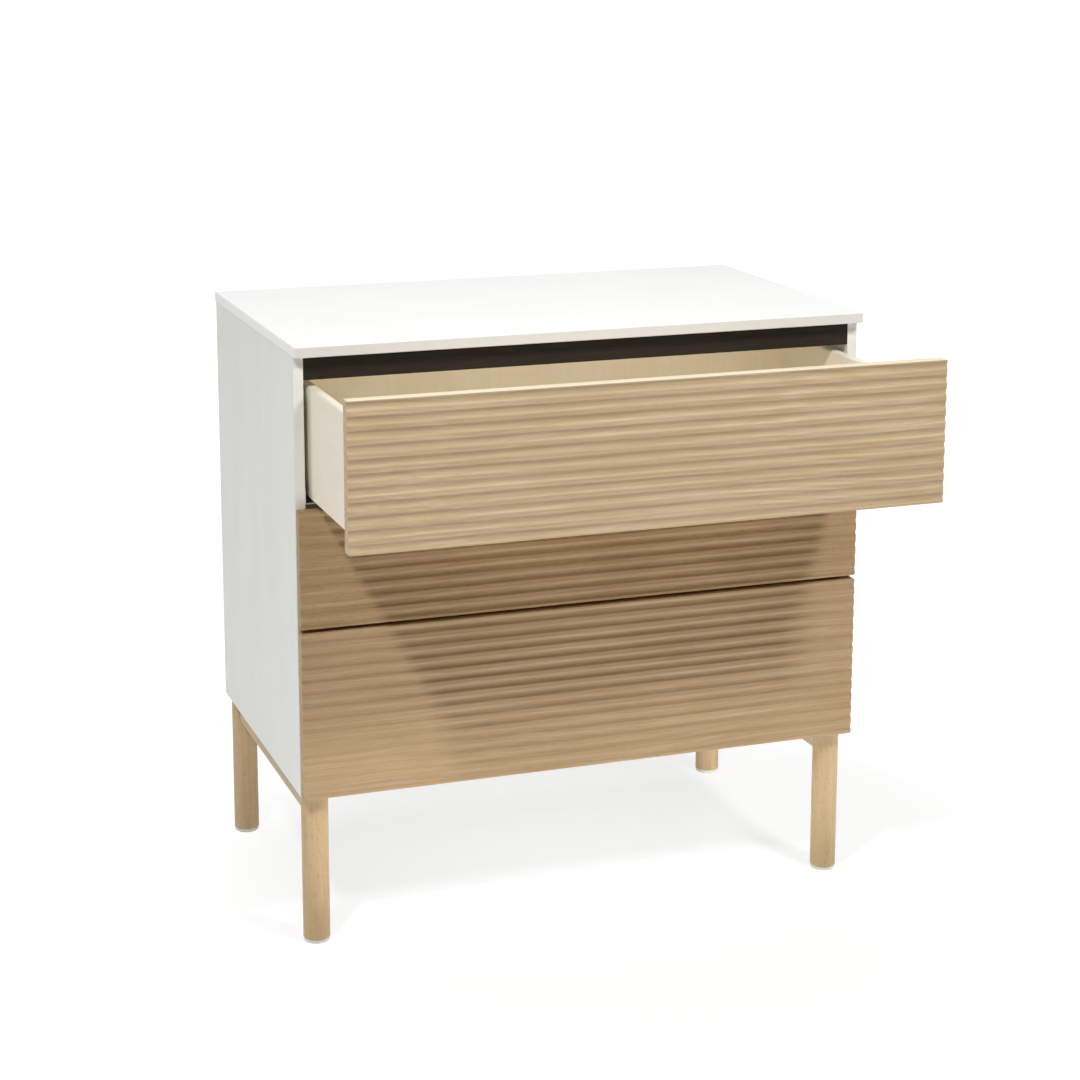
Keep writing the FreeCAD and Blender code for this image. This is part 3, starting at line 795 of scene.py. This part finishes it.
@dataclass
class ScrewField:
    """Heads that sit on a surface: Geometry Nodes set one on each point and turn it by chance.

    Sizes are in millimetres. A recess of no width leaves the head plain.
    """

    name: str
    finish: Finish = SCREW_ZINC
    radius: float = 4.0
    rise: float = 1.2
    recess_width: float = 1.0
    recess_depth: float = 0.8
    recess_reach: float = 2.6
    seed: int = 7
    sides: int = 24
    rings: int = 12

    def set_heads(self, rule: Rule) -> Socket:
        """Makes one head with its crossed recess and sets it on each point.

        Args:
            rule: the tree that starts from the points.

        Returns:
            All the heads.
        """
        given = rule.given
        ball = rule.add("GeometryNodeMeshUVSphere",
                        {"Segments": self.sides, "Rings": self.rings, "Radius": 1.0})
        shape = rule.join(*(rule.term(f"Head {word}") for word in ("Radius", "Radius", "Rise")))
        head = rule.add("GeometryNodeTransform",
                        links={"Geometry": ball.outputs[0], "Scale": shape})
        high = rule.add("ShaderNodeCombineXYZ", links={2: given["Head Rise"]})
        for words in (("Reach", "Width", "Depth"), ("Width", "Reach", "Depth")):
            size = rule.join(*(rule.term(f"Recess {word}") for word in words))
            bar = rule.add("GeometryNodeMeshCube", links={"Size": size})
            arm = rule.add("GeometryNodeTransform",
                           links={"Geometry": bar.outputs[0], "Translation": high.outputs[0]})
            head = rule.add("GeometryNodeMeshBoolean", {"operation": "DIFFERENCE"},
                            {"Mesh 1": head.outputs[0], "Mesh 2": arm.outputs[0]})
        facing = rule.add("GeometryNodeInputNamedAttribute",
                          {"data_type": "FLOAT_VECTOR", "Name": "facing"})
        stand = rule.add("FunctionNodeAlignRotationToVector", {"axis": "Z"},
                         {"Vector": facing.outputs[0]})
        chance = rule.add("FunctionNodeRandomValue",
                          {"data_type": "FLOAT", 2: 0.0, 3: math.tau}, {"Seed": given["Turn Seed"]})
        spin = rule.add("FunctionNodeAxisAngleToRotation", {"Axis": UPWARDS},
                        {"Angle": chance.outputs[1]})
        turned = rule.add("FunctionNodeRotateRotation", {"rotation_space": "LOCAL"},
                          {0: stand.outputs[0], 1: spin.outputs[0]})
        return rule.add("GeometryNodeInstanceOnPoints",
                        links={"Points": given["Geometry"], "Instance": head.outputs[0],
                               "Rotation": turned.outputs[0]}).outputs[0]

    def build(self, body: str, slot: str, places: list[Seat]) -> bpy.types.Object:
        """Makes one mesh of heads that rides on one body.

        Args:
            body: the body that the heads move with.
            slot: not used.
            places: each head's seat and the way that it faces.

        Returns:
            The finished piece.
        """
        points = bpy.data.meshes.new(f"{self.name}_points")
        points.from_pydata([tuple(seat) for seat, _ in places], [], [])
        facing = points.attributes.new("facing", "FLOAT_VECTOR", "POINT")
        for item, (_, way) in zip(facing.data, places):
            item.vector = way
        rule = Rule(self.name, {"Head Radius": self.radius * MM, "Head Rise": self.rise * MM,
                                "Recess Width": self.recess_width * MM,
                                "Recess Depth": 2 * self.recess_depth * MM,
                                "Recess Reach": 2 * self.recess_reach * MM,
                                "Turn Seed": self.seed, "Finish": self.finish.material()})
        piece = rule.run(points, self.set_heads(rule))
        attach(piece, body)
        LOG.info("made %s: %d heads on %s", self.name, len(places), body)
        return piece


@dataclass
class FlutedFront:
    """One drawer front: a board whose face follows the rule of its round-bottomed flutes.

    Sizes are in millimetres. Geometry Nodes start from a fine block and sink each point of its
    face by what the flutes, the eased edges and the rounded corners take away there. A board
    whose upper edge is planed leaves a wider line below the next front, as the photograph has.
    """

    level: Level
    finish: Finish
    planed: float = 0.0
    pitch: float = 20.1
    reach: float = 7.0
    depth: float = 2.8
    valley_share: float = 0.85
    lip: float = 0.4
    edge: float = 1.1
    corner: float = 2.5
    rows_per_flute: int = 32
    columns: int = 17
    crowding: float = 4.0
    fold_degrees: float = 50.0

    @property
    def node(self) -> str:
        """The solid that this board stands for."""
        return f"drawer_{self.level.value}_front"

    def sink(self, rule: Rule, height: Term) -> Term:
        """Works out how deep the flutes are at a height on the board.

        Args:
            rule: the board's tree.
            height: the height above the board's lower edge.

        Returns:
            The depth: a round valley, then a straight bevel up to a softened lip.
        """
        reach, depth, share = (rule.term(f"Flute {word}") for word in ("Reach", "Depth", "Share"))
        off = (height - rule.term("First Flute")).do("PINGPONG", rule.term("Flute Pitch") * 0.5)
        radius = (reach * reach + depth * depth) / (depth * 2.0) * share
        under = (radius * radius - off * off).do("MAXIMUM", 0.0)
        valley = depth - radius + under.do("SQRT")
        bevel = (reach - off) * (depth / reach)
        return valley.do("MAXIMUM", bevel).do("SMOOTH_MAX", 0.0, rule.term("Lip Softness"))

    def rounded(self, radius: Term, inward: Term) -> Term:
        """Works out how far a quarter round falls back near an edge.

        Args:
            radius: the quarter round's radius.
            inward: the distance in from the edge.

        Returns:
            How far the surface lies behind its flat place.
        """
        left = (radius - inward).do("MAXIMUM", 0.0)
        square = radius * radius - left * left
        return radius - square.do("MAXIMUM", 0.0).do("SQRT")

    def carve(self, rule: Rule) -> Socket:
        """Makes the block and sinks each point of its face.

        Args:
            rule: the board's tree.

        Returns:
            The board, smooth but for its folds.
        """
        block = rule.add("GeometryNodeMeshCube", {"Size": (1.0, 1.0, 1.0), "Vertices Y": 2},
                         {"Vertices X": rule.given["Columns"], "Vertices Z": rule.given["Rows"]})
        x, y, z = rule.split(rule.add("GeometryNodeInputPosition").outputs[0])
        low_x, low_y, low_z = rule.split(rule.given["Low Corner"])
        wide, thick, tall = rule.split(rule.given["Board Size"])
        half = wide * 0.5
        # The columns crowd towards both ends, where the eased edge needs them.
        end = half * (1.0 - (x * 2.0).do("ABSOLUTE")).do("POWER", self.crowding)
        height = (z + 0.5) * tall
        rim = height.do("MINIMUM", tall - height)
        inset = self.rounded(rule.term("Corner Radius"), rim)
        across = x.do("SIGN") * (half - end - inset)
        eased = self.rounded(rule.term("Edge Radius"), rim.do("MINIMUM", end))
        face = self.sink(rule, height).do("MAXIMUM", eased)
        is_back = y.do("GREATER_THAN", 0.0)
        deep = is_back * thick + (1.0 - is_back) * face
        moved = rule.join(across + (low_x + half), deep + low_y, height + low_z)
        board = rule.add("GeometryNodeSetPosition",
                         links={"Geometry": block.outputs["Mesh"], "Position": moved})
        smooth = rule.add("GeometryNodeSetShadeSmooth", {"Shade Smooth": True},
                          {0: board.outputs[0]})
        fold = Term(rule.tree, rule.add("GeometryNodeInputMeshEdgeAngle").outputs["Unsigned Angle"])
        sharp = fold.do("GREATER_THAN", math.radians(self.fold_degrees))
        return rule.add("GeometryNodeSetShadeSmooth", {"domain": "EDGE", "Shade Smooth": False},
                        {0: smooth.outputs[0], "Selection": sharp.socket}).outputs[0]

    def build(self) -> bpy.types.Object:
        """Makes the board in the place of its solid.

        Returns:
            The finished board.
        """
        low, high = (Vector(corner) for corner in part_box(self.node))
        size = high - low
        count = round(size.z / (self.pitch * MM))
        first = (size.z - (count - 1) * self.pitch * MM) / 2
        size.z -= self.planed * MM
        rule = Rule(f"fluted_board_{self.level.value}",
                    {"Low Corner": low, "Board Size": size, "Flute Pitch": self.pitch * MM,
                     "First Flute": first, "Flute Reach": self.reach * MM,
                     "Flute Depth": self.depth * MM, "Flute Share": self.valley_share,
                     "Lip Softness": self.lip * MM, "Edge Radius": self.edge * MM,
                     "Corner Radius": self.corner * MM,
                     "Rows": count * self.rows_per_flute + 1, "Columns": self.columns,
                     "Finish": self.finish.material()})
        piece = rule.run(bpy.data.meshes.new("seed"), self.carve(rule))
        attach(piece, f"drawer_{self.level.value}")
        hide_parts(self.node)
        LOG.info("made %s: %d flutes", piece.name, count)
        return piece


@dataclass
class Case:
    """The white case with its rails, legs and glides, and the screws that hold them."""

    rail_screw_shares: tuple[float, ...] = (0.2, 0.5, 0.8)
    back_screws: int = 5
    cam_inset: float = 34.0
    cam_shares: tuple[float, ...] = (0.14, 0.5, 0.86)

    def build(self) -> None:
        """Dresses the case's solids and adds its fittings."""
        corners = [f"{end}_{hand.word}" for end in ("front", "rear") for hand in Hand]
        dress(["top_panel"], TOP_LACQUER)
        dress([f"side_panel_{hand.word}" for hand in Hand], SIDE_FOIL)
        dress(["bottom_panel"], BOTTOM_FOIL)
        dress(["back_panel", "rear_top_rail"], BACK_FOIL)
        dress(["front_top_rail"], DARK_RAIL)
        dress([f"base_rail_{hand.word}" for hand in Hand], RAIL_BEECH)
        dress([f"leg_{corner}" for corner in corners], LEG_BEECH)
        dress([f"glide_{corner}" for corner in corners], GLIDE_PLASTIC)
        self.add_rail_screws()
        self.add_back_screws()
        self.add_cams()

    def add_rail_screws(self) -> None:
        """Sets countersunk screws in the undersides of the base rails."""
        places = []
        for hand in Hand:
            name = f"base_rail_{hand.word}"
            low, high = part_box(name)
            across = (low[0] + high[0]) / 2
            places += seats(name, UPWARDS, [(across, between(low[1], high[1], share),
                                             low[2] - CLEAR) for share in self.rail_screw_shares])
        ScrewField("base_rail_screws", radius=4.2, rise=0.6, recess_depth=0.5,
                   seed=3).build("case", "runner_steel", places)

    def add_back_screws(self) -> None:
        """Sets a row of small screws through the back board into the rear top rail."""
        low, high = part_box("rear_top_rail")
        level = (low[2] + high[2]) / 2
        shares = [(i + 0.5) / self.back_screws for i in range(self.back_screws)]
        places = seats("back_panel", FORWARDS, [(between(low[0], high[0], share),
                                                 high[1] + CLEAR, level) for share in shares])
        ScrewField("back_board_screws", radius=3.4, rise=1.0, recess_reach=2.1,
                   recess_width=0.8, seed=11).build("case", "runner_steel", places)

    def add_cams(self) -> None:
        """Sets cam discs in the underside of the bottom panel, where it meets the sides."""
        low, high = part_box("bottom_panel")
        places = seats("bottom_panel", UPWARDS,
                       [(hand.value * (high[0] - self.cam_inset * MM),
                         between(low[1], high[1], share), low[2] - CLEAR)
                        for hand in Hand for share in self.cam_shares])
        ScrewField("bottom_cam_discs", radius=7.5, rise=0.5, recess_width=1.4,
                   recess_depth=0.4, recess_reach=3.6, seed=5, sides=32
                   ).build("case", "runner_steel", places)


@dataclass
class Drawer:
    """One drawer: its fluted front, its birch box and the fittings that join them.

    Sizes are in millimetres.
    """

    level: Level
    front: Finish
    planed: float = 0.0
    screw_inset: float = 26.0
    cam_inset: float = 30.0
    cam_shares: Span = (0.25, 0.75)
    pad_rise: float = 14.0
    pad_inset: float = 7.0
    outside: float = 600.0

    @property
    def body(self) -> str:
        """The body that the drawer moves with."""
        return f"drawer_{self.level.value}"

    @property
    def sides(self) -> dict[Hand, str]:
        """The nodes of the box's two sides."""
        return {hand: f"{self.body}_side_{hand.word}" for hand in Hand}

    def build(self) -> None:
        """Dresses the drawer's solids and adds its fittings."""
        FlutedFront(self.level, self.front, self.planed).build()
        dress(self.sides.values(), SIDE_BIRCH)
        dress([f"{self.body}_back"], BACK_BIRCH)
        dress([f"{self.body}_floor"], FLOOR_BIRCH)
        self.add_box_screws()
        self.add_cams()
        self.add_pads()

    def add_box_screws(self) -> None:
        """Sets two flush screws in each side, through to the edge of the box back."""
        low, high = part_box(f"{self.body}_back")
        inset = self.screw_inset * MM
        places = []
        for hand, name in self.sides.items():
            places += seats(name, (-hand.value, 0.0, 0.0),
                            [(hand.value * self.outside * MM, (low[1] + high[1]) / 2, height)
                             for height in (low[2] + inset, high[2] - inset)])
        ScrewField(f"{self.body}_box_screws", radius=3.5, rise=0.35,
                   recess_depth=0.3, recess_reach=2.0, recess_width=0.8, seed=13
                   ).build(self.body, "runner_steel", places)

    def add_cams(self) -> None:
        """Sets two cam discs inside each side, which pull the front on to the box."""
        low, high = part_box(f"{self.body}_back")
        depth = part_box(self.sides[Hand.LEFT])[0][1] + self.cam_inset * MM
        places = []
        for hand, name in self.sides.items():
            places += seats(name, (hand.value, 0.0, 0.0),
                            [(0.0, depth, between(low[2], high[2], share))
                             for share in self.cam_shares])
        ScrewField(f"{self.body}_cam_discs", radius=7.5, rise=0.4, recess_width=1.4,
                   recess_depth=0.35, recess_reach=3.6, seed=17, sides=32
                   ).build(self.body, "runner_steel", places)

    def add_pads(self) -> None:
        """Sets felt pads behind the front's corners, where it meets the case's edges."""
        low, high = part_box(f"{self.body}_front")
        rise = self.pad_rise * MM
        places = seats(f"{self.body}_front", FORWARDS,
                       [(hand.value * (high[0] - self.pad_inset * MM), high[1] + CLEAR, height)
                        for hand in Hand for height in (low[2] + rise, high[2] - rise)])
        ScrewField(f"{self.body}_felt_pads", FRONT_FELT, radius=5.0, rise=0.8, recess_width=0.0,
                   recess_depth=0.0, recess_reach=0.0, seed=19
                   ).build(self.body, "glide_plastic", places)


@dataclass
class RunnerSet:
    """A pair of under-drawer runners with their catches and the screws that hold them.

    Sizes are in millimetres.
    """

    level: Level
    track_shares: tuple[float, ...] = (0.08, 0.36, 0.64, 0.92)
    flange_drop: float = 8.0
    flange_inside: float = 430.0
    catch_shares: Span = (0.3, 0.75)
    catch_across: float = 382.0

    def build(self) -> None:
        """Dresses the runners' solids and adds their screws."""
        for part in ("track", "slide", "channel"):
            dress([f"runner_{part}_{self.level.value}_{hand.word}" for hand in Hand], RUNNER_ZINC)
        dress([f"runner_catch_{self.level.value}_{hand.word}" for hand in Hand], CATCH_PLASTIC)
        self.add_track_screws()
        self.add_catch_screws()

    def add_track_screws(self) -> None:
        """Sets pan head screws through each track's flange into the case side."""
        places = []
        for hand in Hand:
            name = f"runner_track_{self.level.value}_{hand.word}"
            low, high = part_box(name)
            places += seats(name, (hand.value, 0.0, 0.0),
                            [(hand.value * self.flange_inside * MM,
                              between(low[1], high[1], share), high[2] - self.flange_drop * MM)
                             for share in self.track_shares])
        ScrewField(f"runner_track_screws_{self.level.value}", radius=3.4, rise=1.4,
                   recess_reach=2.0, recess_width=0.8, seed=23
                   ).build("case", "runner_steel", places)

    def add_catch_screws(self) -> None:
        """Sets two screws in the underside of each catch."""
        places = []
        for hand in Hand:
            name = f"runner_catch_{self.level.value}_{hand.word}"
            low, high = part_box(name)
            places += seats(name, UPWARDS, [(hand.value * self.catch_across * MM,
                                             between(low[1], high[1], share), low[2] - CLEAR)
                                            for share in self.catch_shares])
        ScrewField(f"runner_catch_screws_{self.level.value}", radius=3.0, rise=1.0,
                   recess_reach=1.8, recess_width=0.7, seed=29
                   ).build(f"drawer_{self.level.value}", "runner_steel", places)


@dataclass
class Lamp:
    """One softbox: where it hangs, what it points at, its size, its power and its beam's angle."""

    name: str
    place: Point
    target: Point
    width: float
    height: float
    power: float
    spread: float = 180.0

    def build(self) -> None:
        """Hangs the softbox and turns it to its target."""
        light = bpy.data.lights.new(self.name, "AREA")
        light.shape = "RECTANGLE"
        light.size, light.size_y, light.energy = self.width, self.height, self.power
        light.spread = math.radians(self.spread)
        lamp = put(self.name, light)
        lamp.location = self.place
        lamp.visible_camera = False
        aim = Vector(self.target) - Vector(self.place)
        lamp.rotation_euler = aim.to_track_quat("-Z", "Y").to_euler()
        LOG.info("hung %s", self.name)


@dataclass
class Studio:
    """A white sweep, soft lamps and the camera that took the photograph.

    Lengths are in metres, angles in degrees, and the lens and its sensor in millimetres.
    """

    lens: float = 81.21
    sensor: float = 36.0
    clip: Span = (0.05, 200.0)
    azimuth: float = 19.63
    pitch: float = 11.24
    roll: float = 0.07
    place: Point = (-1.30288, -3.55712, 1.5972)
    rise: float = -0.15
    paper: str = "#F2F2F1"
    paper_reach: float = 30.0
    white: str = "#FFFFFF"
    white_glow: float = 1.18
    near_share: float = 0.62
    shadow_centre: Point = (0.15, 0.0, 0.0)
    shadow_reach: Span = (0.5, 1.05)
    lamps: list[Lamp] = field(default_factory=lambda: [
        Lamp("left_key", (-1.58, -1.69, 2.80), (-0.2, -0.3, 0.7), 0.2, 0.2, 40.0),
        Lamp("right_key", (1.10, -2.15, 2.93), (0.2, -0.3, 0.7), 0.45, 0.45, 54.0),
        Lamp("over_rear", (0.0, 0.75, 3.0), (0.0, 0.3, 0.0), 2.4, 1.2, 22.5),
        Lamp("left_low", (-2.6, 0.6, 0.3), (0.4, 0.35, 0.1), 1.2, 0.4, 13.5),
        Lamp("right_low", (1.7, -0.3, 0.25), (0.4, 0.2, 0.1), 0.8, 0.3, 6.0),
        Lamp("floor_card", (0.0, -0.85, 0.03), (0.0, -0.85, 1.0), 1.8, 1.1, 1.8),
        Lamp("near_card", (0.0, -0.50, 0.03), (0.0, -0.50, 1.0), 1.4, 0.45, 2.1),
        Lamp("close_card", (0.0, -0.32, 0.03), (0.0, -0.30, 1.0), 1.2, 0.2, 0.35),
        Lamp("rear_card", (0.05, 0.08, 0.02), (0.05, 0.08, 1.0), 0.66, 0.08, 0.35),
        Lamp("inside_card", (0.0, -0.33, 0.83), (0.0, 0.07, 0.83), 0.8, 0.06, 0.41),
        Lamp("rear_snoot", (0.10, -0.25, 0.10), (0.42, 0.23, 0.06), 0.06, 0.04, 0.052, 26.0),
    ])

    def build(self) -> None:
        """Sets the view, the camera, the sweep, the world and the lamps."""
        bpy.context.scene.view_settings.view_transform = "Standard"
        self.set_camera()
        self.set_world()
        self.lay_floor()
        for lamp in self.lamps:
            lamp.build()

    def set_camera(self) -> None:
        """Puts the camera where the photograph's lines say that it stood."""
        data = bpy.data.cameras.new("camera")
        data.sensor_width, data.lens, data.shift_y = self.sensor, self.lens, self.rise
        data.clip_start, data.clip_end = self.clip
        camera = put("camera", data)
        turn, tip, lean = (math.radians(a) for a in (self.azimuth, self.pitch, self.roll))
        ahead = Vector((math.sin(turn) * math.cos(tip), math.cos(turn) * math.cos(tip),
                        -math.sin(tip)))
        right = Vector((math.cos(turn), -math.sin(turn), 0.0))
        over = right.cross(ahead)
        right, over = (right * math.cos(lean) + over * math.sin(lean),
                       over * math.cos(lean) - right * math.sin(lean))
        axes = Matrix((right, over, -ahead)).transposed().to_4x4()
        camera.matrix_world = Matrix.Translation(self.place) @ axes
        bpy.context.scene.camera = camera

    def seen(self, tree: Tree) -> Socket:
        """Tells camera, mirror and glass rays from those that light the object.

        Args:
            tree: the tree that asks.

        Returns:
            One for a ray that the eye follows, or zero.
        """
        path = add(tree, "ShaderNodeLightPath").outputs
        seen = path["Is Camera Ray"]
        for other in ("Is Glossy Ray", "Is Transmission Ray"):
            seen = calc(tree, "MAXIMUM", seen, path[other])
        return seen

    def set_world(self) -> None:
        """Makes the world white to the eye, while only the lamps light the object."""
        world = bpy.data.worlds.new("white_sweep")
        bpy.context.scene.world = world
        tree = empty_tree(world)
        white = add(tree, "ShaderNodeBackground", {"Color": linear(self.white)},
                    {"Strength": self.seen(tree)})
        add(tree, "ShaderNodeOutputWorld", links={0: white.outputs[0]})

    def lay_floor(self) -> None:
        """Lays a pale paper floor that keeps the object's shadow and runs out to white."""
        mesh = bpy.data.meshes.new("floor")
        corners = ((-1, -1), (1, -1), (1, 1), (-1, 1))
        mesh.from_pydata([(x * self.paper_reach, y * self.paper_reach, 0) for x, y in corners],
                         [], [(0, 1, 2, 3)])
        floor = put("floor", mesh)
        paper = bpy.data.materials.new("matt_white_paper")
        tree = empty_tree(paper)
        matt = add(tree, "ShaderNodeBsdfDiffuse", {"Color": linear(self.paper)})
        glow = add(tree, "ShaderNodeEmission",
                   {"Color": linear(self.white), "Strength": self.white_glow})
        # The paper keeps the shadow near the chest and runs out to plain white further off.
        place = add(tree, "ShaderNodeTexCoord").outputs["Object"]
        off = add(tree, "ShaderNodeVectorMath", {"operation": "DISTANCE", 1: self.shadow_centre},
                  {0: place})
        near, far = self.shadow_reach
        glowing = add(tree, "ShaderNodeMapRange",
                      {"interpolation_type": "SMOOTHSTEP", 1: near, 2: far,
                       3: self.near_share, 4: 1.0}, {0: off.outputs["Value"]})
        share = calc(tree, "MULTIPLY", self.seen(tree), glowing.outputs[0])
        both = add(tree, "ShaderNodeMixShader",
                   links={0: share, 1: matt.outputs[0], 2: glow.outputs[0]})
        add(tree, "ShaderNodeOutputMaterial", links={0: both.outputs[0]})
        mesh.materials.append(paper)


def main() -> None:
    """Builds the studio and the chest, from the case to the drawers."""
    logging.basicConfig(level=logging.INFO, format="%(name)s: %(message)s")
    Studio().build()
    Case().build()
    for drawer in (Drawer(Level.LOWER, LOWER_BEECH, planed=1.2),
                   Drawer(Level.MIDDLE, MIDDLE_BEECH), Drawer(Level.UPPER, UPPER_BEECH)):
        drawer.build()
        RunnerSet(drawer.level).build()
    LOG.info("built the chest")


if __name__ == "__main__":
    main()
